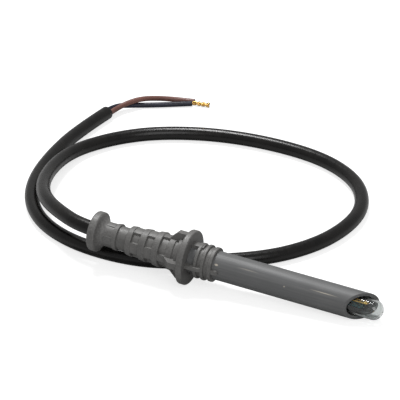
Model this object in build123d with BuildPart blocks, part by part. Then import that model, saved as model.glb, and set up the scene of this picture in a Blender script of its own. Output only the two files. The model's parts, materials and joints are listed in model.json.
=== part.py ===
"""Flanged probe sensor: a glass capsule in a slant-cut tube, a ribbed cable grip and a free two-core cable.

Millimetres, +Z up. The probe lies on the ground plane z = 0 on its flange rim and the tip of its tube, and
points along +X, a little nose-down. The origin is the middle of the probe's footprint. Stations along the
probe's own axis are counted from the flange's front face: plus towards the tip, minus towards the cable.
"""
import os
from math import asin, atan2, cos, hypot, pi, radians, sin, tan

from build123d import *

os.makedirs("parts", exist_ok=True)

# ---------------------------------------------------------------- driving sizes
# probe tube and its slanted tip
tube_radius = 5.75
tube_wall = 1.4
tube_rear = -8.0            # station of the end inside the holder
tip_station = 71.1          # where the slanted cut crosses the axis
tip_cut_angle = 44.0        # lean of the cut from square
tip_edge_round = 0.2

# holder: flange and hub
flange_radius = 11.05
flange_thickness = 2.7
flange_edge_round = 0.6
hub_radius = 8.0
hub_length = 2.2
gusset_width = 2.6
gusset_drop = 0.8           # below the flange's rim
gusset_flat = 3.6           # length of its level top, behind the flange
gusset_run = 3.2            # length of its ramp

# holder: collar in front of the flange
plug_radius = 7.2           # the two plug rings
collar_sleeve_radius = 6.35
collar_window = 3.0         # open length between the flange and the first ring
plug_ring_length = 1.4
plug_ring_gap = 1.5
end_ring_radius = 6.95
end_ring_length = 1.7
key_width = 3.2
key_radius = 7.05           # the plain keys stand a little lower than the rings
key_end = 5.0               # the plain keys run from the flange to this station
key_root = 1.0              # how far the keys and the bar reach back into the flange
bar_width = 1.5             # the narrow raised key, on the side the tip looks to
bar_radius = 8.1
bar_end = 6.6
bar_slope = 1.2             # length of its sloped end
nub_width = 1.9             # the short key in front of the end ring, on the same side
nub_radius = 6.6
nub_end = 13.4

# holder: cable grip behind the flange, as (rear station, front station, radius of the front edge)
grip_rings = [
    (-33.4, -31.4, 5.55),
    (-27.2, -24.7, 6.2),
    (-21.4, -18.4, 6.65),
    (-15.2, -12.3, 7.2),
    (-9.2, -6.4, 7.2),
]
ring_taper = 0.3            # each ring's rear edge is this much lower than its front edge
grip_core_radii = [4.7, 5.1, 5.6, 6.05, 6.7]    # floor in front of each ring
rib_drop = 0.25             # ribs stand this much lower than the ring behind them
rib_widths = [4.6, 4.8, 2.8]                    # in the windows in front of the second, third and fourth ring
neck_rib_width = 3.2
neck_rib_radius = 5.1
neck_rib_lap = 0.5          # how far the neck's ribs reach into the mouth's shoulder
ring_edge_round = 0.4
plug_edge_round = 0.4
neck_station = -36.4
neck_radius = 4.85
mouth_station = -43.0
mouth_radius = 8.1
mouth_band = 3.4            # width of the mouth's outer band
mouth_lip_round = 0.9
mouth_inner_radius = 6.5
throat_station = -34.5      # where the cable bore starts to open into the mouth
pocket_rear = -18.0         # chamber for the crimp, up to the tube's rear end
pocket_radius = 4.6
cable_bore_clearance = 0.25
tube_clearance = 0.03

# cable
cable_diameter = 6.0
core_diameter = 2.4
core_spacing = 2.5          # centre to centre, where the cores leave the jacket's cut end
brown_straight = 6.5        # each core runs on straight this far from the jacket
blue_straight = 8.0
cable_split = -30.0         # station in the bore where the held length meets the free length
jacket_end = -12.5          # station of the jacket's inner end
straight_exit = 18.0        # the cable runs on straight this far before its first bend
bend_share = 0.45           # share of the shorter run that each bend takes up
floor_lift = 0.05           # the free cable lies this much above the ground plane
strand_bundle_radius = 1.0
strand_bundle_length = 7.6

# capsule and what carries it
capsule_radius = 4.0
capsule_wall = 0.7
capsule_rear = 57.0
capsule_tip = 80.0
stem_length = 2.5
base_length = 2.5
carrier_floor = 1.5
carrier_lap = 1.0           # how far the carrier reaches over the glass
carrier_hole_radius = 0.9
ring_station = 61.5
ring_length = 1.6
rod_radius = 1.05
rod_length = 12.4
rod_foot_length = 0.8
rod_tip_round = 0.6
electrode_radius = 0.3
electrode_length = 14.1
electrode_rise = 2.1
electrode_half_width = 0.8
electrode_foot_bends = [0.6, 0.9]               # the first two bends, from the pin up to the loop
electrode_loop_bend = 0.76                      # a little under the half width, which leaves a short straight
pin_radius = 0.3

# wiring in the tube
lead_offset = 1.5           # each lead runs this far to one side of the axis
lead_end = 40.0
conductor_radius = 0.5
conductor_stub = 3.3
splice_length = 6.6
splice_radius = 1.0
sleeve_wall = 0.2
sleeve_lap = 3.0            # how far the sleeve covers each side of the splice
potting_front = -1.0
potting_recess = 0.5        # from the tube's rear end
crimp_length = 4.0
crimp_wall = 1.1
seat_gap = 0.02             # clearance between pieces that sit in each other
end_gap = 0.1               # clearance between faces that meet end to end
same_height = 0.001         # corners this near a height count as on it

# ---------------------------------------------------------------- lying pose and frame
# The flange's front edge and the tube's lower side both touch z = 0, which sets the nose-down tilt.
rim_above_tube = flange_radius - flange_edge_round - tube_radius
contact_length = tip_station + flange_edge_round
tilt = atan2(rim_above_tube, contact_length) + asin(flange_edge_round / hypot(rim_above_tube, contact_length))
axis_direction = Vector(cos(tilt), 0, -sin(tilt))
up_direction = Vector(sin(tilt), 0, cos(tilt))
seat_height = (flange_radius - flange_edge_round) * cos(tilt) + flange_edge_round * (1 - sin(tilt))

dome_centre = capsule_tip - capsule_radius
front_reach = dome_centre * cos(tilt) + capsule_radius
lip_radius = mouth_radius - mouth_lip_round
rear_reach = (mouth_station + mouth_lip_round) * cos(tilt) - lip_radius * sin(tilt) - mouth_lip_round
seat = Vector(-(front_reach + rear_reach) / 2, 0, seat_height)

probe_axis = Axis(seat, axis_direction)
side_plane = Plane(origin=seat, x_dir=axis_direction, z_dir=(0, -1, 0))     # x = station, y = height


def quarter_plane(turn):
    """The side plane turned about the probe's axis: its y points up at 0 degrees and to -Y at 90."""
    return Plane(origin=seat, x_dir=axis_direction, z_dir=Vector(0, -1, 0).rotate(probe_axis, turn))


def cross_plane(station):
    """Plane square to the probe at a station: x towards +Y, y up."""
    return Plane(origin=seat + axis_direction * station, x_dir=(0, 1, 0), z_dir=axis_direction)


def along(station, side=0.0, up=0.0):
    """Point at a station, off the axis to +Y and up."""
    return seat + axis_direction * station + Vector(0, side, 0) + up_direction * up


def save(solid, name):
    """Label a finished piece and write its STEP file."""
    solid.label = name
    export_step(solid, f"parts/{name}.step")


# ---------------------------------------------------------------- derived sizes
tube_bore_radius = tube_radius - tube_wall
socket_radius = tube_radius + tube_clearance
cable_radius = cable_diameter / 2
core_radius = core_diameter / 2
cable_bore_radius = cable_radius + cable_bore_clearance
first_ring = collar_window
second_ring = first_ring + plug_ring_length + plug_ring_gap
end_ring = second_ring + plug_ring_length + plug_ring_gap
collar_end = end_ring + end_ring_length
stem_front = capsule_rear + stem_length
base_rear = capsule_rear - base_length
carrier_rear = base_rear - carrier_floor
splice_rear = lead_end + 2 * end_gap
pin_rear = splice_rear + splice_length / 2
gusset_radius = flange_radius - gusset_drop
quarter_turns = [0, 90, 180, 270]
lead_sides = {"brown": -lead_offset, "blue": lead_offset}


# ---------------------------------------------------------------- holder
def ring_corners(rings, taper=0.0):
    """Outline corners of the rings, rear to front: four for each, with the rear edge lower by the taper."""
    corners = []
    for (rear, front, radius), floor_before, floor_after in rings:
        corners += [(rear, floor_before), (rear, radius - taper), (front, radius), (front, floor_after)]
    return corners


grip_floors = [neck_radius] + grip_core_radii
grip_steps = [(ring, grip_floors[i], grip_floors[i + 1]) for i, ring in enumerate(grip_rings)]
ring_front_heights = [radius for _, _, radius in grip_rings]
ring_rear_heights = [radius - ring_taper for radius in ring_front_heights]
hub_rear = -flange_thickness - hub_length
collar_steps = [
    ((first_ring, first_ring + plug_ring_length, plug_radius), 0, collar_sleeve_radius),
    ((second_ring, second_ring + plug_ring_length, plug_radius), collar_sleeve_radius, collar_sleeve_radius),
    ((end_ring, collar_end, end_ring_radius), collar_sleeve_radius, 0),
]


def at_heights(sketch, heights):
    """Corners of a side-plane sketch that lie at one of these heights off the axis."""
    on_one = lambda corner: min(abs(corner.Y - height) for height in heights) < same_height
    return sketch.vertices().filter_by(on_one)


def key_cross(width, radius):
    """Section of keys or ribs on the four quarter lines, with tops on one radius."""
    Rectangle(width, 2 * radius)
    Rectangle(2 * radius, width)
    Circle(radius, mode=Mode.INTERSECT)


with BuildPart() as holder:
    # cable grip, hub and flange turned in one outline
    with BuildSketch(side_plane) as grip_outline:
        with BuildLine():
            mouth_line = Polyline(
                (mouth_station, 0),
                (mouth_station, mouth_radius),
                (mouth_station + mouth_band, mouth_radius),
            )
            TangentArc((neck_station, neck_radius), mouth_line @ 1, tangent=(-1, 0))
            Polyline(
                (neck_station, neck_radius),
                *ring_corners(grip_steps, ring_taper),
                (hub_rear, grip_core_radii[-1]),
                (hub_rear, hub_radius),
                (-flange_thickness, hub_radius),
                (-flange_thickness, flange_radius),
                (0, flange_radius),
                (0, 0),
                (mouth_station, 0),
            )
        make_face()
        fillet(at_heights(grip_outline, ring_front_heights + ring_rear_heights), ring_edge_round)
        fillet(at_heights(grip_outline, [mouth_radius]), mouth_lip_round)
        fillet(at_heights(grip_outline, [flange_radius]), flange_edge_round)
    revolve(axis=probe_axis)

    # collar in front of the flange: two plug rings and a wider end ring on a sleeve
    with BuildSketch(side_plane) as collar_outline:
        with BuildLine():
            Polyline(*ring_corners(collar_steps), close=True)
        make_face()
        fillet(at_heights(collar_outline, [plug_radius, end_ring_radius]), plug_edge_round)
    revolve(axis=probe_axis)

    # ribs along the grip, four in each window, nearly level with the ring behind them
    for rear_ring, front_ring, rib_width in zip(grip_rings[1:], grip_rings[2:], rib_widths):
        with BuildSketch(cross_plane(rear_ring[1])):
            key_cross(rib_width, rear_ring[2] - rib_drop)
        extrude(amount=front_ring[0] - rear_ring[1])

    # four more on the neck, between the mouth's shoulder and the first ring
    with BuildSketch(cross_plane(neck_station - neck_rib_lap)):
        key_cross(neck_rib_width, neck_rib_radius)
    extrude(amount=grip_rings[0][0] - neck_station + neck_rib_lap)

    # gussets: a ramp and a level top behind the flange, on the four quarter lines
    gusset_rear = -flange_thickness - gusset_flat - gusset_run
    for turn in quarter_turns:
        with BuildSketch(quarter_plane(turn)):
            Polygon(
                (gusset_rear, 0),
                (gusset_rear, grip_rings[-1][2] - rib_drop),
                (gusset_rear + gusset_run, gusset_radius),
                (-flange_thickness, gusset_radius),
                (-flange_thickness, 0),
                align=None,
            )
        extrude(amount=gusset_width / 2, both=True)

    # plain keys in front of the flange, on every quarter line but the one the raised bar takes
    with BuildSketch(cross_plane(-key_root)):
        Rectangle(key_width, 2 * key_radius)
        Rectangle(key_radius, key_width, align=(Align.MIN, Align.CENTER))
        Circle(key_radius, mode=Mode.INTERSECT)
    extrude(amount=key_root + key_end)

    # narrow raised bar, sloped down at its front end
    with BuildSketch(quarter_plane(90)):
        Polygon(
            (-key_root, 0),
            (bar_end, 0),
            (bar_end, plug_radius),
            (bar_end - bar_slope, bar_radius),
            (-key_root, bar_radius),
            align=None,
        )
    extrude(amount=bar_width / 2, both=True)

    # short round-ended nub in line with the bar, in front of the end ring
    with BuildSketch(Plane(origin=along(0, side=-nub_radius), x_dir=axis_direction, z_dir=(0, -1, 0))):
        with Locations(((end_ring + nub_end) / 2, 0)):
            SlotOverall(nub_end - end_ring, nub_width)
    extrude(amount=-nub_radius)

    # inside: tube socket, crimp chamber, cable bore and the flared mouth
    with BuildSketch(side_plane):
        with BuildLine():
            bore_flare = TangentArc(
                (throat_station, cable_bore_radius), (mouth_station, mouth_inner_radius), tangent=(-1, 0)
            )
            Polyline(
                bore_flare @ 0,
                (pocket_rear, cable_bore_radius),
                (pocket_rear, pocket_radius),
                (tube_rear, pocket_radius),
                (tube_rear, socket_radius),
                (nub_end + nub_width, socket_radius),
                (nub_end + nub_width, 0),
                (mouth_station, 0),
                bore_flare @ 1,
            )
        make_face()
    revolve(axis=probe_axis, mode=Mode.SUBTRACT)

save(holder.part, "holder")


# ---------------------------------------------------------------- probe tube
with BuildPart() as probe_tube:
    with BuildSketch(cross_plane(tube_rear)):
        Circle(tube_radius)
        Circle(tube_bore_radius, mode=Mode.SUBTRACT)
    extrude(amount=tip_station + 2 * tube_radius - tube_rear)
    cut_normal = axis_direction * cos(radians(tip_cut_angle)) - Vector(0, sin(radians(tip_cut_angle)), 0)
    tip_plane = Plane(origin=along(tip_station), z_dir=cut_normal)
    split(bisect_by=tip_plane, keep=Keep.BOTTOM)
    tip_rim = probe_tube.faces().filter_by(tip_plane).edges()
    fillet(tip_rim, tip_edge_round)

save(probe_tube.part, "probe_tube")


# ---------------------------------------------------------------- glass capsule and its inside
with BuildPart() as glass_capsule:
    with BuildSketch(side_plane):
        with BuildLine():
            outer_dome = JernArc(
                start=(dome_centre, capsule_radius), tangent=(1, 0), radius=capsule_radius, arc_size=-90
            )
            inner_dome = JernArc(
                start=(dome_centre, capsule_radius - capsule_wall),
                tangent=(1, 0),
                radius=capsule_radius - capsule_wall,
                arc_size=-90,
            )
            Line(outer_dome @ 1, inner_dome @ 1)
            Polyline(
                inner_dome @ 0,
                (capsule_rear, capsule_radius - capsule_wall),
                (capsule_rear, capsule_radius),
                outer_dome @ 0,
            )
        make_face()
    revolve(axis=probe_axis)

save(glass_capsule.part, "glass_capsule")

with BuildPart() as glass_stem:
    with BuildSketch(cross_plane(capsule_rear)):
        Circle(capsule_radius - capsule_wall - seat_gap)
        with Locations((lead_offset, 0), (-lead_offset, 0)):
            Circle(pin_radius + seat_gap, mode=Mode.SUBTRACT)
    extrude(amount=stem_length)

save(glass_stem.part, "glass_stem")

# dark rod on the axis, with a foot that reaches out to the blue pin
with BuildPart() as sensing_rod:
    with BuildSketch(cross_plane(stem_front)):
        Circle(rod_radius)
        with Locations((lead_offset / 2, 0)):
            Rectangle(lead_offset + 2 * pin_radius, 2 * pin_radius + rod_foot_length)
    extrude(amount=rod_foot_length)
    with BuildSketch(cross_plane(stem_front)):
        Circle(rod_radius)
    extrude(amount=rod_length)
    fillet(sensing_rod.edges().sort_by(probe_axis)[-1], rod_tip_round)

save(sensing_rod.part, "sensing_rod")

# bright wire that rises from the brown pin, runs over the rod and turns back in a narrow loop
loop_front = stem_front + electrode_length
loop_back = stem_front + 2 * electrode_rise
with BuildPart() as electrode_loop:
    with BuildLine() as electrode_path:
        FilletPolyline(
            along(stem_front, side=-lead_offset),
            along(stem_front + electrode_rise / 2, side=-lead_offset),
            along(loop_back, side=-electrode_half_width, up=electrode_rise),
            along(loop_front, side=-electrode_half_width, up=electrode_rise),
            along(loop_front, side=electrode_half_width, up=electrode_rise),
            along(loop_back, side=electrode_half_width, up=electrode_rise),
            radius=electrode_foot_bends + [electrode_loop_bend] * 2,
        )
    with BuildSketch(Plane(origin=electrode_path.line @ 0, z_dir=electrode_path.line % 0)):
        Circle(electrode_radius)
    sweep()

save(electrode_loop.part, "electrode_loop")

for name, side in lead_sides.items():
    with BuildPart() as pin:
        with BuildSketch(cross_plane(pin_rear)):
            with Locations((side, 0)):
                Circle(pin_radius)
        extrude(amount=stem_front - pin_rear)
    save(pin.part, f"{name}_pin")


# ---------------------------------------------------------------- what holds the capsule in the tube
with BuildPart() as capsule_base:
    with BuildSketch(cross_plane(base_rear)):
        Circle(capsule_radius)
        with Locations((lead_offset, 0), (-lead_offset, 0)):
            Circle(pin_radius + seat_gap, mode=Mode.SUBTRACT)
    extrude(amount=base_length)

save(capsule_base.part, "capsule_base")

with BuildPart() as capsule_carrier:
    with BuildSketch(cross_plane(carrier_rear)):
        Circle(tube_bore_radius - seat_gap)
    extrude(amount=capsule_rear + carrier_lap - carrier_rear)
    with BuildSketch(cross_plane(base_rear)):
        Circle(capsule_radius + seat_gap)
    extrude(amount=base_length + carrier_lap, mode=Mode.SUBTRACT)
    with BuildSketch(cross_plane(carrier_rear)):
        with Locations((lead_offset, 0), (-lead_offset, 0)):
            Circle(carrier_hole_radius)
    extrude(amount=carrier_floor, mode=Mode.SUBTRACT)

save(capsule_carrier.part, "capsule_carrier")

with BuildPart() as capsule_ring:
    with BuildSketch(cross_plane(ring_station)):
        Circle(tube_bore_radius - seat_gap)
        Circle(capsule_radius + seat_gap, mode=Mode.SUBTRACT)
    extrude(amount=ring_length)

save(capsule_ring.part, "capsule_ring")


# ---------------------------------------------------------------- wiring inside the tube
for name, side in lead_sides.items():
    with BuildPart() as lead:
        with BuildSketch(cross_plane(jacket_end)):
            with Locations((side, 0)):
                Circle(core_radius)
        extrude(amount=lead_end - jacket_end)
        with BuildSketch(cross_plane(lead_end)):
            with Locations((side, 0)):
                Circle(conductor_radius)
        extrude(amount=conductor_stub)
    save(lead.part, f"{name}_lead")

    with BuildPart() as splice:
        with BuildSketch(cross_plane(splice_rear)):
            with Locations((side, 0)):
                Circle(splice_radius)
                Circle(conductor_radius + seat_gap, mode=Mode.SUBTRACT)
        extrude(amount=splice_length / 2)
        with BuildSketch(cross_plane(splice_rear + splice_length / 2)):
            with Locations((side, 0)):
                Circle(splice_radius)
                Circle(pin_radius + seat_gap, mode=Mode.SUBTRACT)
        extrude(amount=splice_length / 2)
    save(splice.part, f"{name}_splice")

    with BuildPart() as sleeve:
        with BuildSketch(cross_plane(splice_rear - sleeve_lap)):
            with Locations((side, 0)):
                Circle(core_radius + seat_gap + sleeve_wall)
                Circle(core_radius + seat_gap, mode=Mode.SUBTRACT)
        extrude(amount=splice_length + 2 * sleeve_lap)
    save(sleeve.part, f"{name}_sleeve")

with BuildPart() as potting_plug:
    with BuildSketch(cross_plane(tube_rear + potting_recess)):
        Circle(tube_bore_radius - seat_gap)
        with Locations((lead_offset, 0), (-lead_offset, 0)):
            Circle(core_radius + seat_gap, mode=Mode.SUBTRACT)
    extrude(amount=potting_front - tube_rear - potting_recess)

save(potting_plug.part, "potting_plug")

with BuildPart() as cable_crimp:
    with BuildSketch(cross_plane(pocket_rear + end_gap)):
        Circle(cable_radius + seat_gap + crimp_wall)
        Circle(cable_radius + seat_gap, mode=Mode.SUBTRACT)
    extrude(amount=crimp_length)

save(cable_crimp.part, "cable_crimp")

with BuildPart() as cable_in_grip:
    with BuildSketch(cross_plane(cable_split)):
        Circle(cable_radius)
    extrude(amount=jacket_end - cable_split)

save(cable_in_grip.part, "cable_in_grip")


# ---------------------------------------------------------------- free cable and its stripped end
def bend_radii(points):
    """Bend radius at each inner point, as large as its two straight runs allow."""
    radii = []
    for before, corner, after in zip(points, points[1:], points[2:]):
        run_in = corner - before
        run_out = after - corner
        turn = radians(run_in.get_angle(run_out))
        radii.append(bend_share * min(run_in.length, run_out.length) / tan(turn / 2))
    return radii


def cord_tube(points, radius, name):
    """Round cord along straight runs joined by tangent bends."""
    radii = bend_radii(points)
    print(name, "bend radii", [round(value, 1) for value in radii])
    with BuildPart() as cord:
        with BuildLine() as route:
            FilletPolyline(*points, radius=radii)
        with BuildSketch(Plane(origin=route.line @ 0, z_dir=route.line % 0)):
            Circle(radius)
        sweep()
    length = sum(edge.length for edge in route.edges())
    print(name, "length", round(length, 1))
    print(name, "volume over section times length", round(cord.part.volume / (pi * radius ** 2 * length), 4))
    save(cord.part, name)


def on_ground(x, y, radius, lift=floor_lift):
    """Centre of a cord that lies on the ground, or is lifted off it."""
    return Vector(x, y, radius + lift)


# the first turn leaves the mouth in the air and comes down inside the second turn
cable_route = [along(cable_split), along(cable_split - straight_exit)]
cable_route += [
    Vector(-81.6, 9.0, 14.0),
    Vector(-94.8, 21.5, 11.8),
    Vector(-104.0, 36.5, 9.2),
    Vector(-110.0, 53.5, 6.9),
    Vector(-113.0, 72.0, 4.8),
    Vector(-111.0, 88.0, 3.4),
]
second_turn = [
    (-101.5, 104.0), (-87.0, 116.0), (-64.0, 124.5), (-37.0, 126.0), (-10.0, 120.5), (10.5, 106.0),
    (21.3, 85.5), (22.3, 65.0), (16.0, 43.5), (1.5, 24.6), (-24.0, 10.0), (-45.0, 2.6), (-71.0, 4.8),
    (-92.0, 14.8), (-107.0, 31.0), (-115.8, 51.0), (-120.0, 75.0), (-121.0, 101.5), (-118.1, 125.7),
]
cable_route += [on_ground(x, y, cable_radius) for x, y in second_turn]
cord_tube(cable_route, cable_radius, "cable")

cable_end = cable_route[-1]
heading = (cable_end - cable_route[-2]).normalized()
rightward = heading.cross(Vector(0, 0, 1))
brown_start = cable_end + rightward * core_spacing / 2
blue_start = cable_end - rightward * core_spacing / 2

# brown core rises over the blue one and comes down beside it
brown_route = [
    brown_start,
    brown_start + heading * brown_straight,
    Vector(-113.2, 137.8, 4.0),
    Vector(-109.3, 143.8, 4.2),
    Vector(-103.9, 150.6, 2.6),
    Vector(-96.6, 155.4, 1.35),
    Vector(-88.7, 156.6, 1.3),
]
cord_tube(brown_route, core_radius, "brown_core")

blue_route = [
    blue_start,
    blue_start + heading * blue_straight,
    Vector(-113.0, 140.9, 1.35),
    Vector(-100.8, 147.0, 1.3),
    Vector(-88.9, 154.1, 1.3),
]
cord_tube(blue_route, core_radius, "blue_core")

# copper of both cores twisted together
with BuildPart() as strand_bundle:
    bundle_start = Vector(-88.5, 155.3, 1.1)
    bundle_heading = Vector(7.6, 0.6, 0)
    with BuildSketch(Plane(origin=bundle_start, z_dir=bundle_heading)):
        Circle(strand_bundle_radius)
    extrude(amount=strand_bundle_length)

save(strand_bundle.part, "strand_bundle")
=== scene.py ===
"""Looks of a flanged probe sensor with a glass tip, lying on a pale table with its cable coiled behind it."""
import json
import math

import bmesh
import bpy
from mathutils import Matrix, Vector


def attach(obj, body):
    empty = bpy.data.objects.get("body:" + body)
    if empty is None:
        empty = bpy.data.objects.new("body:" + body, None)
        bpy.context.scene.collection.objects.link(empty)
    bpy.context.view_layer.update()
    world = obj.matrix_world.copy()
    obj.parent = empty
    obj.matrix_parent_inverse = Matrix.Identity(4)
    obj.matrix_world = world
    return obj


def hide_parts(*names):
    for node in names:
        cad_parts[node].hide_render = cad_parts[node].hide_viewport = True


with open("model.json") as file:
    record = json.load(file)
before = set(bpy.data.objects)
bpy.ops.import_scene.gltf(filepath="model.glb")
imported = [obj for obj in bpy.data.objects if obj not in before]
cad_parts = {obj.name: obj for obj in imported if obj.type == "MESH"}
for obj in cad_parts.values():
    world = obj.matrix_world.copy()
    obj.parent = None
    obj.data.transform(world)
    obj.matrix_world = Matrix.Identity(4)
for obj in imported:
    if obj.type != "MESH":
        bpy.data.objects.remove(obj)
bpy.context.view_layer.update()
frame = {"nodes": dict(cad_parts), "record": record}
nodes = frame["nodes"]
scene = bpy.context.scene
MM = 0.001


# ---------------------------------------------------------------- camera
CAMERA_PLACE = (0.3197, -0.7369, 0.4406)
CAMERA_AIM = Vector((-0.0457, 0.0677, 0))
CAMERA_LENS = 210.7
camera_data = bpy.data.cameras.new("camera")
camera_data.sensor_width = 36
camera_data.lens = CAMERA_LENS
camera_data.clip_end = 20
camera = bpy.data.objects.new("camera", camera_data)
camera.location = CAMERA_PLACE
camera.rotation_euler = (CAMERA_AIM - camera.location).to_track_quat("-Z", "Y").to_euler()
scene.collection.objects.link(camera)
scene.camera = camera


# ---------------------------------------------------------------- probe's own axes
# The probe dips towards its tip: its axis is the "tube" mount's axis, through that mount's point.
mounts = {mount["name"]: mount for mount in frame["record"]["mounts"]}
axis_direction = Vector(mounts["tube"]["axis"]).normalized()
up_direction = Vector((0, 1, 0)).cross(axis_direction) * -1
axis_point = Vector(mounts["tube"]["pos_m"])
to_flange = Vector(mounts["flange_seat"]["pos_m"]) - axis_point
seat = axis_point + axis_direction * to_flange.dot(axis_direction)
probe_dip = math.atan2(-axis_direction.z, axis_direction.x)


def along(station, side=0.0, up=0.0):
    """Point at a station counted from the flange's face, off the axis to +Y and up.

    Takes millimetres and gives metres.
    """
    return seat + (axis_direction * station + Vector((0, side, 0)) + up_direction * up) * MM


def to_probe(point):
    """A point of the part's frame in the coordinates of the materials, which run along the probe's axis."""
    return Matrix.Rotation(-probe_dip, 3, "Y") @ Vector(point)


# ---------------------------------------------------------------- cords
LINE_STEPS = 24              # steps to each span of a cord's smooth line
CUT_EDGE_SHARE = 0.08        # rounding of a cord's cut end, of its diameter
CUT_EDGE_STEPS = 4
CABLE_DIAMETER = 0.006
CABLE_SIDES = 40
CABLE_CENTRE = 0.00305       # height of the cable's centre where it lies on the floor
CORE_DIAMETER = 0.0024
CORE_SIDES = 24
CORE_SPACING = 0.0025        # between the cores' centres where they leave the jacket
BROWN_STRAIGHT = 0.0065
BLUE_STRAIGHT = 0.008


def line_points(name, points):
    """Points along a smooth NURBS line through a route, read back from the line itself."""
    data = bpy.data.curves.new(name, "CURVE")
    data.dimensions = "3D"
    line = data.splines.new("NURBS")
    line.points.add(len(points) - 1)
    for control, point in zip(line.points, points):
        control.co = (*point, 1)
    line.order_u = 3
    line.use_endpoint_u = True
    line.resolution_u = LINE_STEPS
    guide = bpy.data.objects.new(name, data)
    mesh = bpy.data.meshes.new_from_object(guide)
    found = [vertex.co.copy() for vertex in mesh.vertices]
    bpy.data.meshes.remove(mesh)
    bpy.data.objects.remove(guide)
    bpy.data.curves.remove(data)
    return found


def sweep_tube(mesh, centres, radii, sides):
    """Closed round tube through a list of centres, added to a bmesh."""
    rings = []
    for index, centre in enumerate(centres):
        ahead = centres[min(index + 1, len(centres) - 1)]
        behind = centres[max(index - 1, 0)]
        forward = (ahead - behind).normalized()
        across = forward.cross(Vector((0, 0, 1))).normalized()
        upward = across.cross(forward)
        ring = []
        for side in range(sides):
            angle = 2 * math.pi * side / sides
            offset = across * math.cos(angle) + upward * math.sin(angle)
            ring.append(mesh.verts.new(centre + offset * radii[index]))
        rings.append(ring)
    for before, after in zip(rings, rings[1:]):
        for side in range(sides):
            following = (side + 1) % sides
            mesh.faces.new((before[side], before[following], after[following], after[side]))
    mesh.faces.new(list(reversed(rings[0])))
    mesh.faces.new(rings[-1])


def finish_mesh(mesh, name):
    """Smooth-shaded object made from a bmesh."""
    bmesh.ops.recalc_face_normals(mesh, faces=mesh.faces)
    data = bpy.data.meshes.new(name)
    mesh.to_mesh(data)
    mesh.free()
    for face in data.polygons:
        face.use_smooth = True
    piece = bpy.data.objects.new(name, data)
    scene.collection.objects.link(piece)
    return piece


def cord_tube(name, points, diameter, sides):
    """A cord as a round tube along its route's smooth NURBS line, with a rounded edge at its cut end.

    Gives the piece and the points that it follows.
    """
    centres = line_points(name + "_line", points)
    path = list(centres)
    radii = [diameter / 2] * (len(centres) - 1)
    end = centres.pop()
    back = (centres[-1] - end).normalized()
    edge = diameter * CUT_EDGE_SHARE
    for step in range(CUT_EDGE_STEPS + 1):
        turn = math.pi / 2 * step / CUT_EDGE_STEPS
        centres.append(end + back * edge * (1 - math.sin(turn)))
        radii.append(diameter / 2 - edge * (1 - math.cos(turn)))
    mesh = bmesh.new()
    sweep_tube(mesh, centres, radii, sides)
    return finish_mesh(mesh, name), path


def on_floor(x, y):
    """Route point of the cable where it lies on the floor."""
    return Vector((x, y, CABLE_CENTRE))


cable_route = [
    along(-30),
    along(-48),
    Vector((-0.0816, 0.0090, 0.0140)),
    Vector((-0.0948, 0.0215, 0.0118)),
    Vector((-0.1040, 0.0365, 0.0092)),
    Vector((-0.1100, 0.0535, 0.0069)),
    Vector((-0.1130, 0.0720, 0.0048)),
    Vector((-0.1110, 0.0880, 0.0034)),
    on_floor(-0.1015, 0.1040),
    on_floor(-0.0870, 0.1160),
    on_floor(-0.0640, 0.1245),
    on_floor(-0.0370, 0.1260),
    on_floor(-0.0100, 0.1205),
    on_floor(0.0105, 0.1060),
    on_floor(0.0213, 0.0855),
    on_floor(0.0223, 0.0650),
    on_floor(0.0160, 0.0435),
    on_floor(0.0015, 0.0246),
    on_floor(-0.0240, 0.0100),
    on_floor(-0.0450, 0.0026),
    on_floor(-0.0710, 0.0048),
    on_floor(-0.0920, 0.0148),
    on_floor(-0.1070, 0.0310),
    on_floor(-0.1158, 0.0510),
    on_floor(-0.1200, 0.0750),
    on_floor(-0.1210, 0.1015),
    on_floor(-0.1181, 0.1257),
]
cable_end = cable_route[-1]
heading = (cable_end - cable_route[-2]).normalized()
rightward = heading.cross(Vector((0, 0, 1)))
brown_start = cable_end + rightward * CORE_SPACING / 2
blue_start = cable_end - rightward * CORE_SPACING / 2
brown_route = [
    brown_start,
    brown_start + heading * BROWN_STRAIGHT,
    Vector((-0.1132, 0.1378, 0.0040)),
    Vector((-0.1093, 0.1438, 0.0042)),
    Vector((-0.1039, 0.1506, 0.0026)),
    Vector((-0.0966, 0.1554, 0.00135)),
    Vector((-0.0887, 0.1566, 0.0013)),
]
blue_route = [
    blue_start,
    blue_start + heading * BLUE_STRAIGHT,
    Vector((-0.1130, 0.1409, 0.00135)),
    Vector((-0.1008, 0.1470, 0.0013)),
    Vector((-0.0889, 0.1541, 0.0013)),
]
cable, cable_path = cord_tube("cable_sheath", cable_route, CABLE_DIAMETER, CABLE_SIDES)
brown_core, brown_path = cord_tube("brown_wire", brown_route, CORE_DIAMETER, CORE_SIDES)
blue_core, blue_path = cord_tube("blue_wire", blue_route, CORE_DIAMETER, CORE_SIDES)
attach(cable, "root")
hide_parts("cable")
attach(brown_core, "root")
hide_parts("brown_core")
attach(blue_core, "root")
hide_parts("blue_core")


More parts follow.
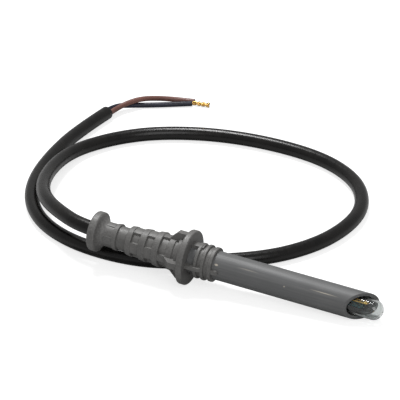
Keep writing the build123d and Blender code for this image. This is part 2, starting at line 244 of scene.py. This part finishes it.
# ---------------------------------------------------------------- bare strands at the cores' end
STRAND_RADIUS = 0.00021
LAY_RADIUS = 0.00048         # each core's copper winds round the other at this distance
LAY_TURNS = 1.7
STRANDS_PER_LAY = 7
STRAND_RING = 0.00042        # its strands lie this far from its own middle
STRAND_TURNS = 2.4
STRAND_SIDES = 8
FRAY = 0.35                  # how much looser the strands lie at their free end
FRAY_START = 0.75            # of the strands' length
FRAY_STEP = 2.1              # radians from one strand's looseness to the next
strand_line = line_points(
    "strand_line",
    [
        Vector((-0.0893, 0.1553, 0.0012)),
        Vector((-0.0868, 0.1555, 0.0012)),
        Vector((-0.0838, 0.1556, 0.0012)),
        Vector((-0.0811, 0.1559, 0.0012)),
    ],
)
strand_mesh = bmesh.new()
for lay in range(2):
    for strand in range(STRANDS_PER_LAY):
        centres = []
        for index, middle in enumerate(strand_line):
            part_way = index / (len(strand_line) - 1)
            frayed = max(0, part_way - FRAY_START) / (1 - FRAY_START)
            loose = 1 + FRAY * frayed * (0.5 + 0.5 * math.sin(FRAY_STEP * strand + lay))
            lay_angle = 2 * math.pi * (LAY_TURNS * part_way + lay / 2)
            spin = 2 * math.pi * (STRAND_TURNS * part_way + strand / (STRANDS_PER_LAY - 1))
            reach = 0 if strand == STRANDS_PER_LAY - 1 else STRAND_RING
            side = LAY_RADIUS * math.cos(lay_angle) + reach * math.cos(spin)
            rise = LAY_RADIUS * math.sin(lay_angle) + reach * math.sin(spin)
            centres.append(middle + Vector((0, side, rise)) * loose)
        sweep_tube(strand_mesh, centres, [STRAND_RADIUS] * len(centres), STRAND_SIDES)
strands = finish_mesh(strand_mesh, "bare_strands")
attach(strands, "root")
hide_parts("strand_bundle")


# ---------------------------------------------------------------- materials
MIX_COLOURS = (6, 7)         # a Mix node's two colour inputs
MIX_RESULT = 2               # and its colour output
NOISE_LOW = 0.3              # where nearly all of a noise's values lie
NOISE_HIGH = 0.7


def blank(name, roughness, metallic=0.0):
    """Material with one Principled shader, and its node tree."""
    material = bpy.data.materials.new(name)
    material.use_nodes = True
    shader = material.node_tree.nodes["Principled BSDF"]
    shader.inputs["Roughness"].default_value = roughness
    shader.inputs["Metallic"].default_value = metallic
    return material, shader


def placed(tree, stretch=(1, 1, 1)):
    """Coordinates in metres that run along the probe's axis first, with each direction stretched."""
    source = tree.nodes.new("ShaderNodeTexCoord")
    turned = tree.nodes.new("ShaderNodeMapping")
    turned.inputs["Rotation"].default_value = (0, -probe_dip, 0)
    scaled = tree.nodes.new("ShaderNodeMapping")
    scaled.inputs["Scale"].default_value = stretch
    tree.links.new(source.outputs["Object"], turned.inputs["Vector"])
    tree.links.new(turned.outputs["Vector"], scaled.inputs["Vector"])
    return scaled.outputs["Vector"]


def noise(tree, vector, size, detail=3.0):
    """Noise with features about this size in metres."""
    node = tree.nodes.new("ShaderNodeTexNoise")
    node.inputs["Scale"].default_value = 1 / size
    node.inputs["Detail"].default_value = detail
    tree.links.new(vector, node.inputs["Vector"])
    return node.outputs["Fac"]


def ramp(tree, value, stops):
    """Colour ramp over a value. stops are (place, colour)."""
    node = tree.nodes.new("ShaderNodeValToRGB")
    elements = node.color_ramp.elements
    elements[0].position = stops[0][0]
    elements[0].color = (*stops[0][1], 1)
    elements[1].position = stops[-1][0]
    elements[1].color = (*stops[-1][1], 1)
    for place, colour in stops[1:-1]:
        element = elements.new(place)
        element.color = (*colour, 1)
    tree.links.new(value, node.inputs["Fac"])
    return node.outputs["Color"]


def spread(tree, value, low, high):
    """A noise's values spread over a range."""
    node = tree.nodes.new("ShaderNodeMapRange")
    node.inputs["From Min"].default_value = NOISE_LOW
    node.inputs["From Max"].default_value = NOISE_HIGH
    node.inputs["To Min"].default_value = low
    node.inputs["To Max"].default_value = high
    tree.links.new(value, node.inputs["Value"])
    return node.outputs["Result"]


def bump(tree, shader, height, depth, strength=1.0):
    """Relief of this depth in metres."""
    node = tree.nodes.new("ShaderNodeBump")
    node.inputs["Strength"].default_value = strength
    node.inputs["Distance"].default_value = depth
    tree.links.new(height, node.inputs["Height"])
    tree.links.new(node.outputs["Normal"], shader.inputs["Normal"])


def mixed(tree, factor, first, second):
    """Two colours, plain or from a node, mixed by a factor."""
    node = tree.nodes.new("ShaderNodeMix")
    node.data_type = "RGBA"
    tree.links.new(factor, node.inputs["Factor"])
    for source, index in zip((first, second), MIX_COLOURS):
        if isinstance(source, tuple):
            node.inputs[index].default_value = (*source, 1)
        else:
            tree.links.new(source, node.inputs[index])
    return node.outputs[MIX_RESULT]


def mark(tree, vector, centre, reach, strength):
    """Soft oval mark: its strength at the centre, down to 0 at its reach in each direction."""
    local = tree.nodes.new("ShaderNodeMapping")
    local.vector_type = "TEXTURE"
    local.inputs["Location"].default_value = centre
    local.inputs["Scale"].default_value = reach
    tree.links.new(vector, local.inputs["Vector"])
    ball = tree.nodes.new("ShaderNodeTexGradient")
    ball.gradient_type = "SPHERICAL"
    tree.links.new(local.outputs["Vector"], ball.inputs["Vector"])
    level = tree.nodes.new("ShaderNodeMath")
    level.operation = "MULTIPLY"
    level.use_clamp = True
    level.inputs[1].default_value = strength
    tree.links.new(ball.outputs["Fac"], level.inputs[0])
    return level.outputs[0]


def added(tree, first, second):
    """Sum of two values, held to 1."""
    node = tree.nodes.new("ShaderNodeMath")
    node.operation = "ADD"
    node.use_clamp = True
    tree.links.new(first, node.inputs[0])
    tree.links.new(second, node.inputs[1])
    return node.outputs[0]


def grained(name, dark, light, roughness, size, depth, metallic=0.0, stretch=(1, 1, 1), rough_spread=0.08):
    """Surface with a soft change of colour, a finer change of gloss and a fine grain."""
    material, shader = blank(name, roughness, metallic)
    tree = material.node_tree
    vector = placed(tree, stretch)
    colour = ramp(tree, noise(tree, vector, 4 * size), [(0.35, dark), (0.65, light)])
    tree.links.new(colour, shader.inputs["Base Color"])
    gloss = spread(tree, noise(tree, vector, 2 * size), roughness - rough_spread, roughness + rough_spread)
    tree.links.new(gloss, shader.inputs["Roughness"])
    bump(tree, shader, noise(tree, vector, size, 4.0), depth)
    return material


def moulded_grip():
    """Semi-matt grey moulding, mottled and finely pitted, a little paler where hands have rubbed it."""
    material, shader = blank("grip_moulding", 0.5)
    tree = material.node_tree
    vector = placed(tree)
    patches = noise(tree, vector, 0.006)
    fine = noise(tree, vector, 0.0007, 6.0)
    base = ramp(tree, patches, [(0.3, (0.088, 0.086, 0.083)), (0.7, (0.118, 0.115, 0.111))])
    pits, middle, rubbed = (0.06, 0.059, 0.057), (0.104, 0.102, 0.099), (0.165, 0.162, 0.157)
    speckle = ramp(tree, fine, [(0.32, pits), (0.5, middle), (0.7, rubbed)])
    weight = spread(tree, noise(tree, vector, 0.011), 0.15, 0.6)
    tree.links.new(mixed(tree, weight, base, speckle), shader.inputs["Base Color"])
    tree.links.new(spread(tree, fine, 0.4, 0.6), shader.inputs["Roughness"])
    bump(tree, shader, noise(tree, vector, 0.0004, 5.0), 0.00006, 0.6)
    return material


def drawn_tube():
    """Smooth blue-grey tube with faint lengthwise streaks, two pale handling scuffs and two painted highlight
    streaks along its upper front side.
    """
    material, shader = blank("tube_moulding", 0.5)
    shader.inputs["Specular IOR Level"].default_value = 0.35
    tree = material.node_tree
    vector = placed(tree)
    streaks = noise(tree, placed(tree, (0.03, 1, 1)), 0.0009, 4.0)
    clouds = noise(tree, vector, 0.012)
    base = ramp(tree, clouds, [(0.3, (0.094, 0.095, 0.096)), (0.7, (0.112, 0.113, 0.114))])
    shade, middle, pale = (0.078, 0.080, 0.083), (0.104, 0.106, 0.108), (0.16, 0.158, 0.155)
    lined = ramp(tree, streaks, [(0.3, shade), (0.5, middle), (0.72, pale)])
    weight = spread(tree, clouds, 0.25, 0.55)
    colour = mixed(tree, weight, base, lined)
    scuffs_and_highlights = None
    for station, side, height, reach, strength in SCUFFS_AND_HIGHLIGHT_STREAKS:
        centre = to_probe(along(station, side, height))
        found = mark(tree, vector, centre, tuple(value * MM for value in reach), strength)
        scuffs_and_highlights = found if scuffs_and_highlights is None else added(tree, scuffs_and_highlights, found)
    # Handling scuffs and painted highlight streaks laid over the tube's colour.
    colour = mixed(tree, scuffs_and_highlights, colour, SCUFF_AND_HIGHLIGHT_COLOUR)
    tree.links.new(colour, shader.inputs["Base Color"])
    tree.links.new(spread(tree, streaks, 0.44, 0.58), shader.inputs["Roughness"])
    bump(tree, shader, streaks, 0.00002, 0.5)
    return material


def clear_glass():
    """Clear glass with a faint green tint and a very slight waviness."""
    material, shader = blank("capsule_glass", 0.02)
    tree = material.node_tree
    shader.inputs["IOR"].default_value = 1.47
    shader.inputs["Transmission Weight"].default_value = 1.0
    vector = placed(tree)
    tint = ramp(tree, noise(tree, vector, 0.006), [(0.3, (0.93, 0.98, 0.965)), (0.7, (0.985, 0.995, 0.99))])
    tree.links.new(tint, shader.inputs["Base Color"])
    tree.links.new(spread(tree, noise(tree, vector, 0.001), 0.005, 0.03), shader.inputs["Roughness"])
    bump(tree, shader, noise(tree, vector, 0.004, 1.0), 0.00003, 0.3)
    return material


def jacket(name, dark, light, roughness, shine):
    """Extruded cable cover: satin, with slight patches, handling dust and fine grain."""
    material, shader = blank(name, roughness)
    shader.inputs["Specular IOR Level"].default_value = shine
    tree = material.node_tree
    vector = placed(tree)
    patches = noise(tree, vector, 0.008, 4.0)
    tree.links.new(ramp(tree, patches, [(0.32, dark), (0.7, light)]), shader.inputs["Base Color"])
    gloss = spread(tree, noise(tree, vector, 0.002), roughness - 0.06, roughness + 0.08)
    tree.links.new(gloss, shader.inputs["Roughness"])
    bump(tree, shader, noise(tree, vector, 0.0005, 4.0), 0.00003, 0.2)
    return material


# Pale tan of the handling scuffs, also used for the painted highlight streaks.
SCUFF_AND_HIGHLIGHT_COLOUR = (0.42, 0.38, 0.32)
# Each mark, in millimetres: station, side and height off the axis, and its reach along, across and up. Then
# its strength. The first two are handling scuffs; the last two, long thin streaks along the tube's upper
# front side, are painted highlights.
SCUFFS_AND_HIGHLIGHT_STREAKS = [
    (12.2, -4.9, 3.0, (0.9, 0.6, 0.45), 2.0),
    (41.0, -5.3, 2.2, (0.5, 0.5, 0.4), 0.9),
    (57.0, -4.4, 3.7, (6.5, 0.45, 0.22), 1.0),
    (25.0, -4.0, 4.1, (5.0, 0.5, 0.2), 0.45),
]
MATERIALS = {
    "grip_plastic": moulded_grip(),
    "tube_plastic": drawn_tube(),
    "clear_glass": clear_glass(),
    "stem_glass": grained("fused_bead", (0.42, 0.5, 0.5), (0.6, 0.68, 0.67), 0.25, 0.0006, 0.00003),
    "dark_rod": grained("rod_glaze", (0.008, 0.035, 0.038), (0.02, 0.075, 0.08), 0.2, 0.0004, 0.00001),
    "gold_wire": grained("gold_wire", (0.55, 0.33, 0.07), (0.95, 0.66, 0.22), 0.28, 0.0003, 0.00002, 1.0),
    "pin_metal": grained("pin_wire", (0.4, 0.4, 0.39), (0.6, 0.6, 0.58), 0.35, 0.0003, 0.00002, 1.0),
    "base_ceramic": grained("fired_base", (0.5, 0.48, 0.43), (0.66, 0.63, 0.57), 0.7, 0.0004, 0.00004),
    "black_rubber": grained("seal_rubber", (0.012, 0.012, 0.012), (0.03, 0.03, 0.029), 0.7, 0.0004, 0.00003),
    "splice_metal": grained(
        "tinned_splice", (0.42, 0.42, 0.41), (0.62, 0.62, 0.6), 0.35, 0.0004, 0.00003, 1.0
    ),
    "shrink_sleeve": grained(
        "shrunk_sleeve", (0.012, 0.012, 0.013), (0.03, 0.03, 0.03), 0.45, 0.0008, 0.00006
    ),
    "potting_resin": grained("cast_resin", (0.012, 0.012, 0.014), (0.03, 0.03, 0.034), 0.2, 0.001, 0.00002),
    "crimp_metal": grained("ferrule", (0.48, 0.48, 0.49), (0.66, 0.66, 0.67), 0.35, 0.0005, 0.00002, 1.0),
    "cable_jacket": jacket("cable_cover", (0.0025, 0.0024, 0.0024), (0.007, 0.0062, 0.0055), 0.27, 0.3),
    "brown_insulation": jacket("brown_cover", (0.105, 0.044, 0.034), (0.17, 0.076, 0.06), 0.42, 0.4),
    "blue_insulation": jacket("blue_cover", (0.004, 0.005, 0.013), (0.011, 0.013, 0.03), 0.4, 0.35),
    "copper_strands": grained(
        "bare_copper", (0.5, 0.27, 0.06), (0.95, 0.68, 0.26), 0.3, 0.0002, 0.00002, 1.0
    ),
}


def dress(piece, slot_name):
    """Gives every slot of a piece or a CAD node one material."""
    slots = piece.data.materials
    if not slots:
        slots.append(MATERIALS[slot_name])
    for index in range(len(slots)):
        slots[index] = MATERIALS[slot_name]


for entry in frame["record"]["subparts"]:
    dress(nodes[entry["node"]], entry["material_slot"])
dress(cable, "cable_jacket")
dress(brown_core, "brown_insulation")
dress(blue_core, "blue_insulation")
dress(strands, "copper_strands")


# ---------------------------------------------------------------- floor and light
def plane_object(name, size, height):
    """Flat square, centred under the part."""
    data = bpy.data.meshes.new(name)
    half = size / 2
    corners = [(-half, -half, height), (half, -half, height), (half, half, height), (-half, half, height)]
    data.from_pydata(corners, [], [(0, 1, 2, 3)])
    piece = bpy.data.objects.new(name, data)
    scene.collection.objects.link(piece)
    return piece


def area_light(name, place, target, size, power):
    """Soft square light at a place, facing a target."""
    data = bpy.data.lights.new(name, "AREA")
    data.size = size
    data.energy = power
    lamp = bpy.data.objects.new(name, data)
    lamp.location = place
    lamp.rotation_euler = (Vector(target) - Vector(place)).to_track_quat("-Z", "Y").to_euler()
    scene.collection.objects.link(lamp)


FLOOR_SIZE = 8
FLOOR_DROP = 0.0002          # below the part, so that no face lies in the floor
FLOOR_TONE = 0.45
FLOOR_LIFT = 0.72            # the floor's own glow as the camera sees it, which the object doesn't reflect
WORLD_STRENGTH = 0.42
floor = plane_object("floor", FLOOR_SIZE, -FLOOR_DROP)
floor_material = bpy.data.materials.new("floor_paint")
floor_material.use_nodes = True
floor_shader = floor_material.node_tree.nodes["Principled BSDF"]
floor_shader.inputs["Base Color"].default_value = (FLOOR_TONE, FLOOR_TONE, FLOOR_TONE, 1)
floor_shader.inputs["Roughness"].default_value = 0.9
floor_shader.inputs["Specular IOR Level"].default_value = 0
floor_shader.inputs["Emission Color"].default_value = (1, 1, 1, 1)
floor_tree = floor_material.node_tree
seen = floor_tree.nodes.new("ShaderNodeLightPath")
lift = floor_tree.nodes.new("ShaderNodeMath")
lift.operation = "MULTIPLY"
lift.inputs[1].default_value = FLOOR_LIFT
floor_tree.links.new(seen.outputs["Is Camera Ray"], lift.inputs[0])
floor_tree.links.new(lift.outputs[0], floor_shader.inputs["Emission Strength"])
floor.data.materials.append(floor_material)

world = bpy.data.worlds.new("studio")
world.use_nodes = True
background = world.node_tree.nodes["Background"]
background.inputs["Color"].default_value = (1, 1, 1, 1)
background.inputs["Strength"].default_value = WORLD_STRENGTH
scene.world = world
scene.view_settings.view_transform = "Standard"
area_light("key_light", (-0.35, 0.35, 1.1), (-0.03, 0.05, 0), 0.35, 13)
area_light("fill_light", (0.6, -0.9, 0.8), (0, 0.03, 0), 0.9, 7)
